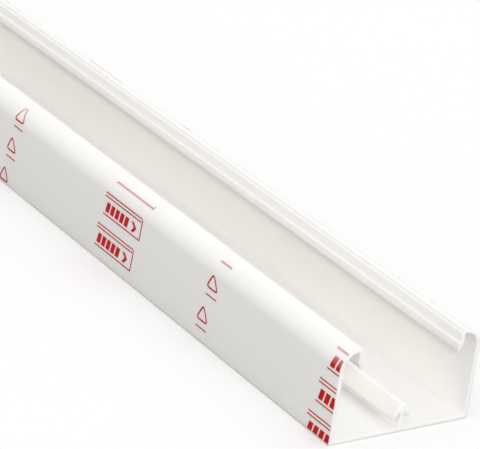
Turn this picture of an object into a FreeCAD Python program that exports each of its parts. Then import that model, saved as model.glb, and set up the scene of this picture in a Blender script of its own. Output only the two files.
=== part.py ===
"""Body of a cable trunking: one length of white plastic extrusion with an open top.

The section is drawn in the YZ plane, +Z up, and extruded along X. The origin is at the middle of
the underside. One half of the section (floor, side wall, rounded shoulder and the thin lip that hangs
from it) is drawn once and mirrored, and the arrow-shaped rail is drawn on the middle of the floor.
"""
import FreeCAD, Part
import os

import Sketcher

os.makedirs("parts", exist_ok=True)
doc = FreeCAD.newDocument("cable_trunking")

# Driving dimensions in millimetres
sizes = {
    "trunking_length": 2000,
    "trunking_width": 80,
    "trunking_height": 48,
    "floor_thickness": 1.8,
    "wall_thickness": 2.2,
    "outer_corner_radius": 0.6,
    "inner_corner_radius": 2.0,
    "shoulder_width": 11,
    "shoulder_land": 0.5,
    "shoulder_thickness": 2.1,
    "hollow_land": 0.6,
    "rim_height": 1.4,
    "seat_reach": 0.8,
    "seat_fall": 0.4,
    "throat_depth": 3.5,
    "nose_reach": 1.0,
    "nose_slope": 2.4,
    "nose_height": 3.0,
    "lip_thickness": 2.0,
    "lip_tip_width": 1.2,
    "lip_taper_height": 3.0,
    "rail_stem_thickness": 2.0,
    "rail_stem_height": 8.0,
    "rail_width": 9.8,
    "rail_barb_height": 5.0,
    "rail_barb_thickness": 1.8,
    "rail_height": 12.9,
    "rail_top_width": 3.2,
}
sheet = doc.addObject("Spreadsheet::Sheet", "sizes")
for row, (name, value) in enumerate(sizes.items(), start=1):
    sheet.set("A%d" % row, name)
    sheet.set("B%d" % row, str(value))
    sheet.setAlias("B%d" % row, name)
doc.recompute()


def origin_plane(body, role):
    """Gives one of the three planes of a body's own origin."""
    for feature in body.Origin.OriginFeatures:
        if feature.Role == role:
            return feature
    raise RuntimeError("no plane " + role)


def size(name):
    """Reads a driving dimension back from the sheet."""
    return float(sheet.get(name))


def value_of(expression):
    """Works out a sum of driving dimensions, as first placing for a sketch point."""
    total = 0.0
    for term in expression.replace("-", "+-").split("+"):
        term = term.strip()
        if not term:
            continue
        sign = -1.0 if term.startswith("-") else 1.0
        factors = term.lstrip("-").strip().split("/")
        number = size(factors[0].strip())
        for divisor in factors[1:]:
            number /= float(divisor)
        total += sign * number
    return total


def with_sheet_name(expression):
    """Writes the same sum as an expression that the document evaluates."""
    text = expression
    for name in sorted(sizes, key=len, reverse=True):
        text = text.replace(name, "<<%s>>.%s" % (sheet.Label, name.upper()))
    for name in sizes:
        text = text.replace("." + name.upper(), "." + name)
    return text


def hold_point(sketch, line, sideways, upward):
    """Ties the start of a line to the sheet: across the section and up from the underside."""
    if sideways is None:
        sketch.addConstraint(Sketcher.Constraint("PointOnObject", line, 1, -2))
    else:
        index = sketch.addConstraint(
            Sketcher.Constraint("DistanceX", -1, 1, line, 1, value_of(sideways)))
        sketch.setExpression("Constraints[%d]" % index, with_sheet_name(sideways))
    if upward is None:
        sketch.addConstraint(Sketcher.Constraint("PointOnObject", line, 1, -1))
    else:
        index = sketch.addConstraint(
            Sketcher.Constraint("DistanceY", -1, 1, line, 1, value_of(upward)))
        sketch.setExpression("Constraints[%d]" % index, with_sheet_name(upward))


def section_sketch(body, name, corners):
    """Draws a closed outline of straight runs in the YZ plane, each corner tied to the sheet."""
    sketch = body.newObject("Sketcher::SketchObject", name)
    sketch.AttachmentSupport = [(origin_plane(body, "YZ_Plane"), "")]
    sketch.MapMode = "FlatFace"
    places = []
    for sideways, upward in corners:
        across = 0.0 if sideways is None else value_of(sideways)
        above = 0.0 if upward is None else value_of(upward)
        places.append(FreeCAD.Vector(across, above, 0))
    count = len(corners)
    for index in range(count):
        sketch.addGeometry(Part.LineSegment(places[index], places[(index + 1) % count]), False)
    for index in range(count):
        sketch.addConstraint(Sketcher.Constraint("Coincident", index, 2, (index + 1) % count, 1))
    for index, (sideways, upward) in enumerate(corners):
        hold_point(sketch, index, sideways, upward)
    doc.recompute()
    return sketch


def pad_along_length(body, sketch, name):
    """Extrudes a section to the full length, half to each side of the middle."""
    pad = body.newObject("PartDesign::Pad", name)
    pad.Profile = sketch
    pad.Midplane = True
    pad.setExpression("Length", "<<%s>>.trunking_length" % sheet.Label)
    doc.recompute()
    return pad


def long_edges(shape, spots):
    """Names the edges that run along the length through the given spots of the section."""
    names = []
    for across, above in spots:
        for index, edge in enumerate(shape.Edges, start=1):
            first = edge.Vertexes[0].Point
            last = edge.Vertexes[-1].Point
            runs_along = abs(first.y - last.y) < 1e-6 and abs(first.z - last.z) < 1e-6
            at_spot = abs(first.y - across) < 1e-4 and abs(first.z - above) < 1e-4
            if runs_along and at_spot and abs(first.x - last.x) > 1e-6:
                names.append("Edge%d" % index)
                break
        else:
            raise RuntimeError("no long edge at %.3f, %.3f" % (across, above))
    return names


def round_edges(body, base, name, spots, radius):
    """Rounds long edges, found by their place in the section, on both halves."""
    both = list(spots) + [(-across, above) for across, above in spots]
    fillet = body.newObject("PartDesign::Fillet", name)
    fillet.Base = (base, long_edges(base.Shape, both))
    fillet.setExpression("Radius", with_sheet_name(radius))
    doc.recompute()
    return fillet


# Places in the section that several features share, as sums of driving dimensions
outer_face = "trunking_width / 2"
wall_inside = "trunking_width / 2 - wall_thickness"
rim_edge = "trunking_width / 2 - shoulder_width"
lip_inside = rim_edge + " - seat_reach"
nose = lip_inside + " - nose_reach"
lip_outside = lip_inside + " + lip_thickness"
hollow_radius = "shoulder_width + seat_reach - wall_thickness - lip_thickness - hollow_land"
top = "trunking_height"
rim_foot = "trunking_height - rim_height"
seat_edge = rim_foot + " - seat_fall"
throat_end = seat_edge + " - throat_depth"
nose_top = throat_end + " - nose_slope"
lip_foot = nose_top + " - nose_height"
lip_tip = nose + " + lip_tip_width"
lip_heel = lip_foot + " + lip_taper_height"
hollow_top = "trunking_height - shoulder_thickness"
floor_top = "floor_thickness"

# Trunking body
trunking = doc.addObject("PartDesign::Body", "trunking_body")
trunking.Label = "trunking_body"

half_outline = [
    (None, None),
    (outer_face, None),
    (outer_face, top),
    (rim_edge, top),
    (rim_edge, rim_foot),
    (lip_inside, seat_edge),
    (lip_inside, throat_end),
    (nose, nose_top),
    (nose, lip_foot),
    (lip_tip, lip_foot),
    (lip_outside, lip_heel),
    (lip_outside, hollow_top),
    (wall_inside, hollow_top),
    (wall_inside, floor_top),
    (None, floor_top),
]
half_section = section_sketch(trunking, "half_section", half_outline)
half_pad = pad_along_length(trunking, half_section, "half_length")

both_halves = trunking.newObject("PartDesign::Mirrored", "both_halves")
both_halves.Originals = [half_pad]
both_halves.MirrorPlane = (origin_plane(trunking, "XZ_Plane"), [""])
trunking.Tip = both_halves
doc.recompute()

stem_side = "rail_stem_thickness / 2"
barb_side = "rail_width / 2"
crown_side = "rail_top_width / 2"
stem_top = floor_top + " + rail_stem_height"
barb_foot = floor_top + " + rail_barb_height"
barb_top = barb_foot + " + rail_barb_thickness"
crown = floor_top + " + rail_height"
right_side = [
    (stem_side, floor_top),
    (stem_side, stem_top),
    (barb_side, barb_foot),
    (barb_side, barb_top),
    (crown_side, crown),
]
rail_outline = right_side + [("-" + across, above) for across, above in reversed(right_side)]
rail_section = section_sketch(trunking, "rail_section", rail_outline)
rail_pad = pad_along_length(trunking, rail_section, "rail_length")

shoulders = round_edges(
    trunking, rail_pad, "shoulders", [(value_of(outer_face), value_of(top))],
    "shoulder_width - shoulder_land")
hollows = round_edges(
    trunking, shoulders, "shoulder_hollows", [(value_of(wall_inside), value_of(hollow_top))],
    hollow_radius)
inner_corners = round_edges(
    trunking, hollows, "inner_corners", [(value_of(wall_inside), value_of(floor_top))],
    "inner_corner_radius")
outer_corners = round_edges(
    trunking, inner_corners, "outer_corners", [(value_of(outer_face), 0.0)], "outer_corner_radius")
trunking.Tip = outer_corners
doc.recompute()

# Every object is sound before anything is written
for item in doc.Objects:
    if "Invalid" in item.State or "Error" in item.State:
        raise RuntimeError("%s failed: %s" % (item.Name, item.State))
parts = [trunking]
for part in parts:
    if part.Shape.isNull() or not part.Shape.isValid():
        raise RuntimeError(part.Label + " has no valid shape")
for part in parts:
    part.Shape.exportStep("parts/%s.step" % part.Label)
    box = part.Shape.BoundBox
    print("%s: %d solid, %.1f x %.1f x %.1f mm, %.1f cm3" % (
        part.Label, len(part.Shape.Solids), box.XLength, box.YLength, box.ZLength,
        part.Shape.Volume / 1000))
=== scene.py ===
# %% [markdown]
# # A length of white cable trunking
#
# The object is one length of rigid plastic trunking, 2 m long, with its cover off. Two side walls stand
# on a flat floor. Each wall rolls inwards at its top into a rounded shoulder, and a thin lip hangs from
# the shoulder's inner rim. A small rail shaped like an arrow runs along the middle of the floor.
#
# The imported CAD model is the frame: it gives the place and the size of everything. Its mesh is coarse on
# the shoulders, so this lesson draws the same section again, finer, and gives it the look of extruded
# plastic, then prints red marks on its outer walls.

# %% Load the frame
import math

import bpy
from mathutils import Matrix, Vector


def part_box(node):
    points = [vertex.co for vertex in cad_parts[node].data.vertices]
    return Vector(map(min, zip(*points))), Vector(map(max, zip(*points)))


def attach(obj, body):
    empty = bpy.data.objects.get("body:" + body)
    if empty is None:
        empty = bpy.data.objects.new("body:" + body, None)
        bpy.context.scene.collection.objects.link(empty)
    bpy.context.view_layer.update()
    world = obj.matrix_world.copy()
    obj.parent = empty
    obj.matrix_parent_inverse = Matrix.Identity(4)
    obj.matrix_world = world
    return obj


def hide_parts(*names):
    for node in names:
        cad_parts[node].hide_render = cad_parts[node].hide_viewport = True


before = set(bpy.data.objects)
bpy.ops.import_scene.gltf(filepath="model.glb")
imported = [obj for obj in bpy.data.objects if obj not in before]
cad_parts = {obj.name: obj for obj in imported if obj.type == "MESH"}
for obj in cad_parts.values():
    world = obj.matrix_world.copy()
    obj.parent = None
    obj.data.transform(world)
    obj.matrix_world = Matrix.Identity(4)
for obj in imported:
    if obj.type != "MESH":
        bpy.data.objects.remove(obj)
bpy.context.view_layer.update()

# %% [markdown]
# ## Named sizes
#
# A trunking section is given in millimetres by its maker's drawing, and Blender works in metres, so one
# small function turns the first into the second. The section's sizes carry the names that the CAD source
# gives them. The outer sizes are read from the frame, so the piece can't drift away from the solid. One
# thing differs: the lip's nose starts lower here and has a shorter slope, because in the photograph the
# lip catches the light in one narrow line.

# %% Sizes of the section
def mm(value):
    """Millimetres as metres."""
    return value / 1000.0


node_low, node_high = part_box("trunking_body")
near_end = node_high[0]
far_end = node_low[0]
half_width = node_high[1]
height = node_high[2]
floor_top = mm(1.8)
wall_inside = half_width - mm(2.2)
bottom_radius = mm(0.6)
inner_corner_radius = mm(2.0)
rim_edge = half_width - mm(11)
shoulder_radius = mm(10.5)
hollow_top = height - mm(2.1)
rim_foot = height - mm(1.4)
seat_edge = rim_foot - mm(0.4)
lip_inside = rim_edge - mm(0.8)
throat_end = seat_edge - mm(4.3)
nose = lip_inside - mm(1.0)
nose_top = throat_end - mm(1.0)
lip_foot = nose_top - mm(3.6)
lip_outside = lip_inside + mm(2.0)
lip_tip = nose + mm(1.2)
lip_heel = lip_foot + mm(3.0)
hollow_radius = wall_inside - lip_outside - mm(0.6)
stem_side = mm(1.0)
stem_top = floor_top + mm(8.0)
barb_side = mm(4.9)
barb_foot = floor_top + mm(5.0)
barb_top = barb_foot + mm(1.8)
crown_side = mm(1.6)
crown = floor_top + mm(12.9)
edge_softness = mm(0.2)
shoulder_steps = 28
hollow_steps = 20
inner_corner_steps = 6
bottom_steps = 5
print("hollow radius, mm", round(hollow_radius * 1000, 2))

# %% [markdown]
# ## Working by hand, in code
#
# Every piece here starts from a primitive and is shaped with the same tools that the mouse would reach.
# These tools act on all that is selected, and the imported CAD model is left selected, so a new piece
# always starts by clearing the selection. Small helpers keep that in one place. One of them applies a
# modifier, and another picks the vertices that stand at given places.

# %% Helpers for hand work
def clear_selection():
    if bpy.context.object and bpy.context.object.mode != "OBJECT":
        bpy.ops.object.mode_set(mode="OBJECT")
    bpy.ops.object.select_all(action="DESELECT")


def make_active(piece):
    clear_selection()
    piece.select_set(True)
    bpy.context.view_layer.objects.active = piece


def apply_modifier(piece, kind, **settings):
    """Adds a modifier with these settings and applies it."""
    make_active(piece)
    modifier = piece.modifiers.new(kind.lower(), kind)
    for name, value in settings.items():
        setattr(modifier, name, value)
    bpy.ops.object.modifier_apply(modifier=modifier.name)


def pick_vertices(piece, wanted):
    """Selects the vertices whose place passes a test, in edit mode."""
    bpy.ops.object.mode_set(mode="OBJECT")
    for edge in piece.data.edges:
        edge.select = False
    for face in piece.data.polygons:
        face.select = False
    for vertex in piece.data.vertices:
        vertex.select = bool(wanted(vertex.co))
    bpy.ops.object.mode_set(mode="EDIT")
    bpy.ops.mesh.select_mode(type="VERT")


# %% [markdown]
# ## The section as a wire
#
# Extruded plastic is pushed through a hole in a steel plate, so the section is the whole design. The
# section could be made from boxes joined together, but seams would show along two metres. Here half of
# it is drawn as a wire instead: a small plane is merged to one vertex, and that vertex is extruded from
# corner to corner. Where the wire has to turn on a radius, the Spin tool sweeps the vertex round.

# %% A pen for the section
def start_wire(name, across, above):
    """Leaves one selected vertex at a place of the section, on the far end's plane."""
    clear_selection()
    bpy.ops.mesh.primitive_plane_add(size=mm(1), location=(far_end, across, above))
    wire = bpy.context.object
    wire.name = name
    bpy.ops.object.transform_apply(location=True, rotation=False, scale=False)
    bpy.ops.object.mode_set(mode="EDIT")
    bpy.ops.mesh.select_mode(type="VERT")
    bpy.ops.mesh.select_all(action="SELECT")
    bpy.ops.mesh.merge(type="CENTER")
    return wire


class Pen:
    """Moves the wire's last vertex from place to place in the section."""

    def __init__(self, across, above):
        self.across = across
        self.above = above

    def line_to(self, across, above):
        move = (0.0, across - self.across, above - self.above)
        bpy.ops.mesh.extrude_vertices_move(TRANSFORM_OT_translate={"value": move})
        self.across = across
        self.above = above

    def turn(self, centre_across, centre_above, quarter, steps):
        """A quarter turn about a centre: quarter is 1 anticlockwise as seen from +X, -1 clockwise.
        The Spin tool counts its angle the other way round."""
        bpy.ops.mesh.spin(
            steps=steps, angle=-quarter * math.pi / 2, use_auto_merge=False,
            center=(far_end, centre_across, centre_above), axis=(1.0, 0.0, 0.0))
        from_centre = (self.across - centre_across, self.above - centre_above)
        self.across = centre_across - quarter * from_centre[1]
        self.above = centre_above + quarter * from_centre[0]


# %% [markdown]
# The wire starts at the middle of the underside. It runs out to the wall, up and over the shoulder, down
# the lip and back up behind it, then down the wall's inner side and along the floor to the rail.

# %% Draw half of the section
trunking = start_wire("trunking", 0.0, 0.0)
pen = Pen(0.0, 0.0)
pen.line_to(half_width - bottom_radius, 0.0)
pen.turn(half_width - bottom_radius, bottom_radius, 1, bottom_steps)
pen.line_to(half_width, height - shoulder_radius)
pen.turn(half_width - shoulder_radius, height - shoulder_radius, 1, shoulder_steps)
for corner in [
        (rim_edge, height), (rim_edge, rim_foot), (lip_inside, seat_edge), (lip_inside, throat_end),
        (nose, nose_top), (nose, lip_foot), (lip_tip, lip_foot), (lip_outside, lip_heel),
        (lip_outside, hollow_top), (wall_inside - hollow_radius, hollow_top)]:
    pen.line_to(*corner)
pen.turn(wall_inside - hollow_radius, hollow_top - hollow_radius, -1, hollow_steps)
pen.line_to(wall_inside, floor_top + inner_corner_radius)
pen.turn(
    wall_inside - inner_corner_radius, floor_top + inner_corner_radius, -1, inner_corner_steps)
for corner in [
        (stem_side, floor_top), (stem_side, stem_top), (barb_side, barb_foot), (barb_side, barb_top),
        (crown_side, crown), (0.0, crown)]:
    pen.line_to(*corner)
bpy.ops.object.mode_set(mode="OBJECT")
print("half wire", len(trunking.data.vertices), "vertices, ends at", round(pen.above * 1000, 2), "mm")

# %% [markdown]
# ## From the wire to the extrusion
#
# A Mirror modifier makes the other half, so both sides are the same, as from one die. The closed wire is
# filled with one face, and that face is extruded to the full length. A narrow Bevel then takes the
# razor edge off every corner, because molten plastic never leaves a die perfectly sharp, and light needs
# that small rounding to draw a bright line along an edge.

# %% Mirror, fill and extrude
merge_distance = 1e-6
bevel_angle = math.radians(28)
smooth_angle = math.radians(35)
apply_modifier(trunking, "MIRROR", use_axis=(False, True, False), merge_threshold=merge_distance)
bpy.ops.object.mode_set(mode="EDIT")
bpy.ops.mesh.select_all(action="SELECT")
bpy.ops.mesh.remove_doubles(threshold=merge_distance)
bpy.ops.mesh.edge_face_add()
bpy.ops.mesh.extrude_region_move(TRANSFORM_OT_translate={"value": (near_end - far_end, 0.0, 0.0)})
bpy.ops.mesh.select_all(action="SELECT")
bpy.ops.mesh.normals_make_consistent(inside=False)
bpy.ops.object.mode_set(mode="OBJECT")
apply_modifier(
    trunking, "BEVEL", width=edge_softness, segments=2, limit_method="ANGLE",
    angle_limit=bevel_angle, use_clamp_overlap=True)
make_active(trunking)
bpy.ops.object.shade_smooth_by_angle(angle=smooth_angle)
print("trunking", len(trunking.data.polygons), "faces, box",
      [round(v * 1000, 2) for v in trunking.dimensions])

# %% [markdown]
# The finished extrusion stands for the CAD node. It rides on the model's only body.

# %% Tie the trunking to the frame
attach(trunking, "root")
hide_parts("trunking_body")
print("trunking stands for the node trunking_body")

# %% [markdown]
# ## Marks on the outer walls
#
# Trunking is printed as it leaves the die, by a roller that turns against its sides. That is why the
# marks repeat along the length, lean a little, and run off the bottom edge and the cut end. The marks
# here are plain ones: a frame of thin rules round slanted blocks and an arrowhead, and an outlined
# triangle over a short dash. They could be painted in the material, but a pattern on a piece two metres
# long would be blurred when it is baked, so they are thin pieces of ink.

# %% Sizes of the printed pattern
column_step = mm(195.5)
row_drop = mm(18.9)
row_lean = mm(4.9)
rows_on_wall = 4
blocks_behind_end = mm(8.7)
blocks_top = mm(47.2)
triangle_behind_end = mm(100.7)
triangle_middle = mm(51.7)
near_print_top = mm(46.2)
far_print_top = mm(47.0)
far_lift = mm(1.85)
far_ahead = mm(241.0)
print_foot = mm(0.7)
shoulder_cut_step = mm(0.3)
cut_tolerance = mm(0.03)
end_margin = mm(0.4)
ink_lift = mm(0.02)
ink_thickness = mm(0.04)
drawing_gap = mm(5)
rule_height = mm(0.7)
print("a motif every", round(column_step * 1000, 1), "mm along,", round(row_drop * 1000, 1), "mm down")

# %% [markdown]
# Each mark is drawn flat, beside the wall, as a plane that is stretched to its width and height. A
# slanted block is the same plane with its top edge pushed sideways.

# %% Draw flat marks
def flat_mark(name, along, above, width, tall, lean=0.0):
    """A flat mark from its lower left corner; its top is pushed along by the lean."""
    clear_selection()
    centre = (along + width / 2, 0.0, above + tall / 2)
    bpy.ops.mesh.primitive_plane_add(size=1.0, location=centre, rotation=(math.pi / 2, 0.0, 0.0))
    mark = bpy.context.object
    mark.name = name
    mark.scale = (width, tall, 1.0)
    bpy.ops.object.transform_apply(location=True, rotation=True, scale=True)
    if lean:
        middle = above + tall / 2
        pick_vertices(mark, lambda place: place.z > middle)
        bpy.ops.transform.translate(value=(lean, 0.0, 0.0))
        bpy.ops.object.mode_set(mode="OBJECT")
    return mark


def join_marks(name, marks):
    clear_selection()
    for mark in marks:
        mark.select_set(True)
    bpy.context.view_layer.objects.active = marks[0]
    bpy.ops.object.join()
    marks[0].name = name
    return marks[0]


def copy_mark(mark, along, above):
    """A copy with its own mesh, moved in the drawing's plane, its place kept in its mesh."""
    make_active(mark)
    bpy.ops.object.duplicate(linked=False)
    bpy.ops.transform.translate(value=(along, 0.0, above))
    bpy.ops.object.transform_apply(location=True, rotation=False, scale=False)
    return bpy.context.object


# %% [markdown]
# The large motif is a frame, open on the left: two thin rules above, one below, and a slanted bar that
# closes it. Slanted blocks fill most of it. The arrowhead beside them starts as a block that is cut
# across its middle, and the cut is pushed along.

# %% Draw the large motif
rule_length = mm(35.0)
frame_height = mm(12.0)
second_rule_drop = mm(2.0)
second_rule_lag = mm(0.6)
last_rule_lag = mm(1.0)
bar_width = mm(0.8)
bar_lean = mm(1.4)
block_start = mm(0.6)
block_drop = mm(10.0)
block_width = mm(3.4)
block_height = mm(5.6)
block_gap = mm(1.1)
block_lean = mm(1.4)
blocks_in_row = 5
head_start = mm(25.5)
head_width = mm(2.4)
head_reach = mm(2.6)
same_height = mm(0.1)


def arrowhead(name, along, above):
    head = flat_mark(name, along, above, head_width, block_height)
    make_active(head)
    bpy.ops.object.mode_set(mode="EDIT")
    bpy.ops.mesh.select_all(action="SELECT")
    middle = above + block_height / 2
    bpy.ops.mesh.bisect(plane_co=(0.0, 0.0, middle), plane_no=(0.0, 0.0, 1.0))
    pick_vertices(head, lambda place: abs(place.z - middle) < same_height)
    bpy.ops.transform.translate(value=(head_reach, 0.0, 0.0))
    bpy.ops.object.mode_set(mode="OBJECT")
    return head


def framed_blocks(name, along, above):
    """The large motif, hung from the left end of its upper rule."""
    blocks_foot = above - block_drop
    blocks = [flat_mark(
        name, along + block_start, blocks_foot, block_width, block_height, block_lean)]
    for place in range(1, blocks_in_row):
        blocks.append(copy_mark(blocks[0], place * (block_width + block_gap), 0.0))
    head = arrowhead("head", along + head_start, blocks_foot)
    bar = flat_mark(
        "bar", along + rule_length - bar_lean, above - frame_height, bar_width, frame_height, bar_lean)
    rule_places = ((0.0, 0.0), (second_rule_lag, second_rule_drop), (last_rule_lag, frame_height))
    rules = [
        flat_mark("rule", along - lag, above - drop, rule_length, rule_height)
        for lag, drop in rule_places]
    return join_marks(name, blocks + [head, bar] + rules)


# %% [markdown]
# The small motif is an outlined triangle over a dash. A filled circle with three sides is a triangle
# already. Its corners are rounded by Bevel, its face is inset, and the inner face is deleted, which
# leaves the outline. The corners are rounded wide, because a corner that is tighter than the outline's
# width folds over when it is inset.

# %% Draw the triangle motif
triangle_radius = mm(6.4)
triangle_rounding = mm(2.8)
outline_width = mm(0.95)
dash_length = mm(9.4)
dash_height = mm(0.7)
dash_drop = mm(7.1)


def outlined_triangle(name, along, above):
    """The small motif, about the middle of its triangle."""
    clear_selection()
    bpy.ops.mesh.primitive_circle_add(
        vertices=3, radius=triangle_radius, fill_type="NGON", location=(along, 0.0, above),
        rotation=(math.pi / 2, 0.0, 0.0))
    triangle = bpy.context.object
    triangle.name = name
    bpy.ops.object.transform_apply(location=True, rotation=True, scale=True)
    bpy.ops.object.mode_set(mode="EDIT")
    bpy.ops.mesh.select_all(action="SELECT")
    bpy.ops.mesh.bevel(
        offset=triangle_rounding, offset_type="OFFSET", segments=3, affect="VERTICES")
    bpy.ops.mesh.select_mode(type="FACE")
    bpy.ops.mesh.select_all(action="SELECT")
    bpy.ops.mesh.inset(thickness=outline_width, depth=0.0)
    bpy.ops.mesh.delete(type="FACE")
    bpy.ops.object.mode_set(mode="OBJECT")
    dash = flat_mark("dash", along - dash_length / 2, above - dash_drop, dash_length, dash_height)
    return join_marks(name, [triangle, dash])


# %% [markdown]
# ## Rolling the pattern along the wall
#
# Two Array modifiers do what the print roller does: one repeats a motif down the wall, each row a little
# further back, the other repeats the rows along the length. Every second column stands half a row
# higher.

# %% Repeat a motif over a wall
def roll_motif(motif):
    """Repeats a motif over the whole wall, every second column half a row higher."""
    columns = int((near_end - far_end) / (2 * column_step)) + 2
    apply_modifier(
        motif, "ARRAY", count=rows_on_wall, use_relative_offset=False, use_constant_offset=True,
        constant_offset_displace=(-row_lean, 0.0, -row_drop))
    apply_modifier(
        motif, "ARRAY", count=columns, use_relative_offset=False, use_constant_offset=True,
        constant_offset_displace=(-2 * column_step, 0.0, 0.0))
    return [motif, copy_mark(motif, row_lean / 2 - column_step, row_drop / 2)]


def flat_pattern(name, lift, ahead):
    """The whole pattern of a wall, still flat, set higher and further along than the near wall's."""
    large = framed_blocks("blocks", near_end - blocks_behind_end + ahead, blocks_top + lift)
    small = outlined_triangle(
        "triangle", near_end - triangle_behind_end + ahead, triangle_middle + lift)
    return join_marks(name, roll_motif(large) + roll_motif(small))


# %% [markdown]
# What runs past the wall's foot, past the shoulder or past the ends is cut away with Bisect. The same
# tool leaves cut lines at even heights on the shoulder, without clearing anything, so that a mark has
# points enough to follow the curve. Bisect takes points within a tenth of a millimetre for points on its
# plane, which is coarse for marks as small as these, so its threshold is made finer.

# %% Trim a pattern to its wall
def cut_level(piece, place, normal, clear):
    """Cuts all of a piece along a plane and, where asked, clears what lies beyond it."""
    make_active(piece)
    bpy.ops.object.mode_set(mode="EDIT")
    bpy.ops.mesh.select_all(action="SELECT")
    bpy.ops.mesh.bisect(
        plane_co=place, plane_no=normal, clear_outer=clear, threshold=cut_tolerance)
    bpy.ops.object.mode_set(mode="OBJECT")


def trim_to_wall(sheet, print_top):
    cut_level(sheet, (near_end - end_margin, 0.0, 0.0), (1.0, 0.0, 0.0), True)
    cut_level(sheet, (far_end + end_margin, 0.0, 0.0), (-1.0, 0.0, 0.0), True)
    cut_level(sheet, (0.0, 0.0, print_foot), (0.0, 0.0, -1.0), True)
    cut_level(sheet, (0.0, 0.0, print_top), (0.0, 0.0, 1.0), True)
    level = height - shoulder_radius
    while level < far_print_top:
        cut_level(sheet, (0.0, 0.0, level), (0.0, 0.0, 1.0), False)
        level += shoulder_cut_step


# %% [markdown]
# A Shrinkwrap modifier presses the flat drawing onto the wall and round its shoulder. The faces that
# point into the plastic are then flipped, and Solidify gives the ink its thickness, half sunk in.

# %% Press the pattern onto the walls
def face_outwards(sheet, side):
    """Flips the faces of a pattern that point into its wall."""
    make_active(sheet)
    bpy.ops.object.mode_set(mode="EDIT")
    bpy.ops.mesh.select_mode(type="FACE")
    bpy.ops.mesh.select_all(action="DESELECT")
    bpy.ops.object.mode_set(mode="OBJECT")
    for face in sheet.data.polygons:
        face.select = face.normal.y * side < 0
    bpy.ops.object.mode_set(mode="EDIT")
    bpy.ops.mesh.flip_normals()
    bpy.ops.object.mode_set(mode="OBJECT")


def wall_print(name, side, print_top, lift, ahead):
    """The printed pattern of one wall: side is -1 for the near wall and 1 for the far one."""
    sheet = flat_pattern(name, lift, ahead)
    make_active(sheet)
    bpy.ops.transform.translate(value=(0.0, side * (half_width + drawing_gap), 0.0))
    bpy.ops.object.transform_apply(location=True, rotation=False, scale=False)
    trim_to_wall(sheet, print_top)
    apply_modifier(
        sheet, "SHRINKWRAP", target=trunking, wrap_method="PROJECT", use_project_y=True,
        use_positive_direction=side < 0, use_negative_direction=side > 0, offset=ink_lift)
    face_outwards(sheet, side)
    apply_modifier(sheet, "SOLIDIFY", thickness=ink_thickness, offset=-1.0)
    print(name, len(sheet.data.polygons), "faces")
    return sheet


near_print = wall_print("near_wall_print", -1, near_print_top, 0.0, 0.0)
far_print = wall_print("far_wall_print", 1, far_print_top, far_lift, far_ahead)
for printed in (near_print, far_print):
    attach(printed, "root")

# %% [markdown]
# ## A small language for materials
#
# Node trees are long to write out. A small class wraps a socket, so that sums read as sums: each sign
# between two values adds its Math node.

# %% Socket arithmetic
class Value:
    """A socket that takes part in sums."""

    def __init__(self, recipe, socket):
        self.recipe = recipe
        self.socket = socket

    def combine(self, other, operation, swapped=False):
        first, second = (other, self) if swapped else (self, other)
        return self.recipe.node("Math", {"operation": operation}, {0: first, 1: second})

    def __add__(self, other):
        return self.combine(other, "ADD")

    def __radd__(self, other):
        return self.combine(other, "ADD", True)

    def __rsub__(self, other):
        return self.combine(other, "SUBTRACT", True)

    def __mul__(self, other):
        return self.combine(other, "MULTIPLY")

    def __gt__(self, other):
        return self.combine(other, "GREATER_THAN")


# %% [markdown]
# One method makes any other node from its type, its settings and the values or links of its sockets.
# Another tells the rays that show a thing itself from the rays that only carry its light to other
# things. The floor and the world use it, to look white without lighting the object too much.

# %% Recipes of nodes
class Recipe:
    """One material or world under construction."""

    def __init__(self, owner):
        owner.use_nodes = True
        self.tree = owner.node_tree
        self.tree.nodes.clear()

    def node(self, kind, settings=None, inputs=None, output=0):
        """Makes a node: settings first, then the values or links of its sockets."""
        made = self.tree.nodes.new("ShaderNode" + kind)
        for name, value in (settings or {}).items():
            setattr(made, name, value)
        for name, value in (inputs or {}).items():
            if isinstance(value, Value):
                self.tree.links.new(value.socket, made.inputs[name])
            else:
                made.inputs[name].default_value = value
        return Value(self, made.outputs[output]) if made.outputs else made

    def mix_colour(self, factor, first, second):
        return self.node(
            "Mix", {"data_type": "RGBA"}, {0: factor, 6: first, 7: second}, output=2)

    def seen(self):
        """1 for a ray that shows a thing itself, in the lens, in a gloss or through glass; else 0."""
        camera = self.node("LightPath", output="Is Camera Ray")
        glossy = self.node("LightPath", output="Is Glossy Ray")
        through = self.node("LightPath", output="Is Transmission Ray")
        return (camera + glossy + through) > 0.5


# %% [markdown]
# ## White plastic
#
# Rigid white plastic is not a flat white. Some light sinks a few millimetres into it and comes out again,
# which softens every shadow, and that is what the subsurface part does. The die leaves faint lines along
# the length, which show as slight changes of gloss, and the colour drifts a little. The saw leaves the
# cut ends rougher and a touch whiter, with fine lines. The lines are noise on Object coordinates,
# stretched along the length, and the ends are told apart by their place, because a pattern by place
# stays put when the piece is exported.

# %% Mix the white plastic
plastic_colour = (0.945, 0.926, 0.898, 1.0)
plastic_shade = (0.927, 0.904, 0.868, 1.0)
cut_colour = (0.935, 0.925, 0.91, 1.0)
cut_depth = mm(0.12)
die_line_stretch = (3.0, 1400.0, 1400.0)
saw_line_stretch = (0.0, 260.0, 2200.0)
drift_scale = 9.0
grain_scale = 2600.0
plastic_roughness = 0.34
bump_depth = mm(0.05)
scatter_share = 0.45
scatter_depth = mm(3)


def stretched_lines(recipe, place, stretch, detail):
    """Noise drawn out along the direction in which the stretch is smallest."""
    stretched = recipe.node("VectorMath", {"operation": "MULTIPLY"}, {0: place, 1: stretch})
    return recipe.node("TexNoise", inputs={"Vector": stretched, "Scale": 1.0, "Detail": detail})


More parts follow.
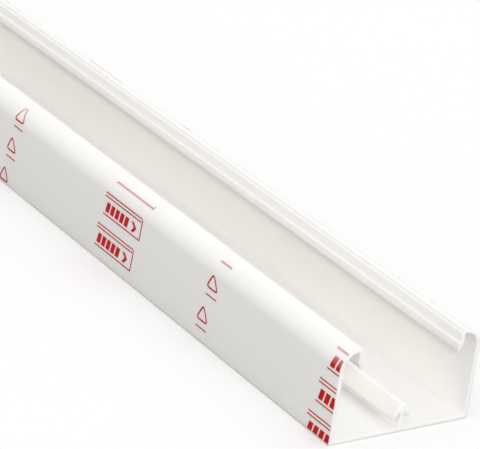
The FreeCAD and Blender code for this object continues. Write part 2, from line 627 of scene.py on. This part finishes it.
def mix_plastic():
    material = bpy.data.materials.new("white_plastic")
    recipe = Recipe(material)
    place = recipe.node("TexCoord", output=3)
    die_lines = stretched_lines(recipe, place, die_line_stretch, 3.0)
    saw_lines = stretched_lines(recipe, place, saw_line_stretch, 4.0)
    drift = recipe.node("TexNoise", inputs={"Vector": place, "Scale": drift_scale, "Detail": 2.0})
    grain = recipe.node("TexNoise", inputs={"Vector": place, "Scale": grain_scale, "Detail": 2.0})
    along = recipe.node("SeparateXYZ", inputs={0: place})
    reach = recipe.node("Math", {"operation": "ABSOLUTE"}, {0: along})
    at_end = reach > (near_end - cut_depth)
    body_colour = recipe.mix_colour(drift * 0.5 + die_lines * 0.25, plastic_colour, plastic_shade)
    colour = recipe.mix_colour(at_end, body_colour, cut_colour)
    roughness = plastic_roughness + die_lines * 0.12 + at_end * 0.2
    lines = die_lines * (1.0 - at_end) * 0.35 + grain * 0.1 + saw_lines * at_end * 2.2
    bump = recipe.node("Bump", inputs={"Strength": 0.35, "Distance": bump_depth, "Height": lines})
    shader = recipe.node("BsdfPrincipled", inputs={
        "Base Color": colour, "Roughness": roughness, "Normal": bump, "IOR": 1.5,
        "Subsurface Weight": scatter_share, "Subsurface Radius": (1.0, 0.95, 0.9),
        "Subsurface Scale": scatter_depth})
    recipe.node("OutputMaterial", inputs={"Surface": shader})
    print("white plastic of", len(recipe.tree.nodes), "nodes")
    return material


white_plastic = mix_plastic()
trunking.data.materials.clear()
trunking.data.materials.append(white_plastic)

# %% [markdown]
# ## Red ink
#
# The marks are printed in one strong red, less glossy than the plastic. Ink on smooth plastic is thin
# where the roller pressed unevenly, so its colour is mottled at the scale of a millimetre. On the near
# shoulder, where it turns up into the light, the ink grows pale with height: that paling is a painted
# highlight.

# %% Mix the red ink
ink_red = (0.76, 0.004, 0.004, 1.0)
ink_dark = (0.52, 0.003, 0.004, 1.0)
ink_mottle_scale = 900.0
ink_roughness = 0.42
ink_specular = 0.12
# Where the painted highlight starts to pale the ink on the near shoulder, and the height over which it
# grows.
painted_highlight_start = mm(39)
painted_highlight_reach = mm(14)


def painted_highlight_on_shoulder(recipe, place):
    """0 on the walls, and on the near shoulder a share of plastic that grows with height: a painted
    highlight.
    """
    across = recipe.node("SeparateXYZ", inputs={0: place}, output=1)
    above = recipe.node("SeparateXYZ", inputs={0: place}, output=2)
    risen = recipe.node("Math", {"operation": "MAXIMUM"}, {0: above, 1: painted_highlight_start})
    on_near_wall = 1.0 - (across > 0.0)
    return (risen + -painted_highlight_start) * (1.0 / painted_highlight_reach) * on_near_wall


def mix_ink():
    material = bpy.data.materials.new("red_ink")
    recipe = Recipe(material)
    place = recipe.node("TexCoord", output=3)
    mottle = recipe.node(
        "TexNoise", inputs={"Vector": place, "Scale": ink_mottle_scale, "Detail": 3.0})
    full_ink = recipe.mix_colour(mottle, ink_red, ink_dark)
    # Painted highlight: the ink on the near shoulder is mixed towards the plastic's colour as it rises
    # into the light.
    colour = recipe.mix_colour(painted_highlight_on_shoulder(recipe, place), full_ink, plastic_colour)
    shader = recipe.node("BsdfPrincipled", inputs={
        "Base Color": colour, "Roughness": ink_roughness + mottle * 0.1,
        "Specular IOR Level": ink_specular})
    recipe.node("OutputMaterial", inputs={"Surface": shader})
    return material


red_ink = mix_ink()
for printed in (near_print, far_print):
    printed.data.materials.clear()
    printed.data.materials.append(red_ink)
print("ink pales from", round(painted_highlight_start * 1000, 1), "mm above the underside on the near wall")

# %% [markdown]
# ## Floor, world and lights
#
# White on white is lit so that the form still reads. The floor is white where the camera sees it, and
# darker where it throws light back onto the object, so the walls keep their soft grey.

# %% Lay the floor
floor_size = 14.0
floor_gap = mm(0.05)
floor_cast = (0.28, 0.28, 0.28, 1.0)
floor_seen = (1.0, 1.0, 1.0, 1.0)


def lay_floor():
    clear_selection()
    bpy.ops.mesh.primitive_plane_add(size=floor_size, location=(0.0, 0.0, -floor_gap))
    floor = bpy.context.object
    floor.name = "studio_floor"
    material = bpy.data.materials.new("studio_white")
    recipe = Recipe(material)
    colour = recipe.mix_colour(recipe.seen(), floor_cast, floor_seen)
    shader = recipe.node("BsdfDiffuse", inputs={"Color": colour})
    recipe.node("OutputMaterial", inputs={"Surface": shader})
    floor.data.materials.append(material)
    print("floor", floor_size, "m square,", round(floor_gap * 1000, 2), "mm below the trunking")


lay_floor()

# %% [markdown]
# The world is white too where it is seen. As a light it is a plain glow that grows towards the zenith.

# %% Light the room
ambient_strength = 0.64
overhead_strength = 0.23
world_white = (1.0, 1.0, 1.0, 1.0)


def light_world():
    world = bpy.data.worlds.new("studio")
    bpy.context.scene.world = world
    recipe = Recipe(world)
    direction = recipe.node("SeparateXYZ", inputs={0: recipe.node("TexCoord")}, output=2)
    rising = recipe.node("Math", {"operation": "MAXIMUM"}, {0: direction, 1: 0.0})
    cast = ambient_strength + rising * overhead_strength
    seen = recipe.seen()
    strength = seen + (1.0 - seen) * cast
    background = recipe.node("Background", inputs={"Color": world_white, "Strength": strength})
    recipe.node("OutputWorld", inputs={"Surface": background})
    print("world of", len(recipe.tree.nodes), "nodes")


light_world()

# %% [markdown]
# One soft sun stands beside the near wall, and a wider one shines along the channel into its open end.
# Between them the shoulder stays the brightest band and the floor of the channel doesn't go dark.

# %% Hang the suns
key_towards = (0.70, -0.50, 0.48)
key_strength = 0.25 * math.pi
key_spread = 10.0
end_towards = (0.95, 0.0, 0.30)
end_strength = 0.29 * math.pi
end_spread = 20.0
sun_distance = 3.0


def add_sun(name, towards, strength, spread):
    """A soft sun that shines from a direction, its spread in degrees. A strength of pi makes a white
    surface that faces the sun plain white."""
    data = bpy.data.lights.new(name, "SUN")
    data.energy = strength
    data.angle = math.radians(spread)
    lamp = bpy.data.objects.new(name, data)
    bpy.context.scene.collection.objects.link(lamp)
    lamp.rotation_euler = Vector(towards).to_track_quat("Z", "Y").to_euler()
    lamp.location = Vector(towards).normalized() * sun_distance
    print(name, round(strength, 3))


add_sun("key_sun", key_towards, key_strength, key_spread)
add_sun("end_sun", end_towards, end_strength, end_spread)

# %% [markdown]
# ## The camera
#
# The camera was fitted to the photograph's edges: its direction, its small roll, and where the near
# end's bottom corner falls. A long lens far back keeps the trunking's edges nearly parallel.

# %% Place the camera
camera_azimuth = math.radians(53.673)
camera_elevation = math.radians(23.426)
camera_roll = math.radians(7.955)
corner_right = mm(40.063)
corner_up = mm(-100.613)
corner_away = mm(1236.548)
focal_in_pixels = 2725.862
picture_width = 480.0

back = Vector((
    math.sin(camera_azimuth) * math.cos(camera_elevation),
    -math.cos(camera_azimuth) * math.cos(camera_elevation),
    math.sin(camera_elevation)))
level_right = Vector((0.0, 0.0, 1.0)).cross(back).normalized()
level_up = back.cross(level_right)
right = math.cos(camera_roll) * level_right + math.sin(camera_roll) * level_up
up = math.cos(camera_roll) * level_up - math.sin(camera_roll) * level_right
corner = Vector((near_end, -half_width, 0.0))
station = corner - corner_right * right - corner_up * up + corner_away * back

camera_data = bpy.data.cameras.new("photo_camera")
camera_data.sensor_width = 36.0
camera_data.lens = focal_in_pixels / picture_width * camera_data.sensor_width
camera_data.clip_start = 0.05
camera_data.clip_end = 50.0
camera = bpy.data.objects.new("photo_camera", camera_data)
bpy.context.scene.collection.objects.link(camera)
camera.matrix_world = Matrix.Translation(station) @ Matrix((right, up, back)).transposed().to_4x4()
bpy.context.scene.camera = camera
bpy.context.scene.view_settings.view_transform = "Standard"
print("camera at", [round(v, 3) for v in station], "lens", round(camera_data.lens, 1))

# %% [markdown]
# ## Closing
#
# Last, the selection is cleared.

# %% Finish
clear_selection()
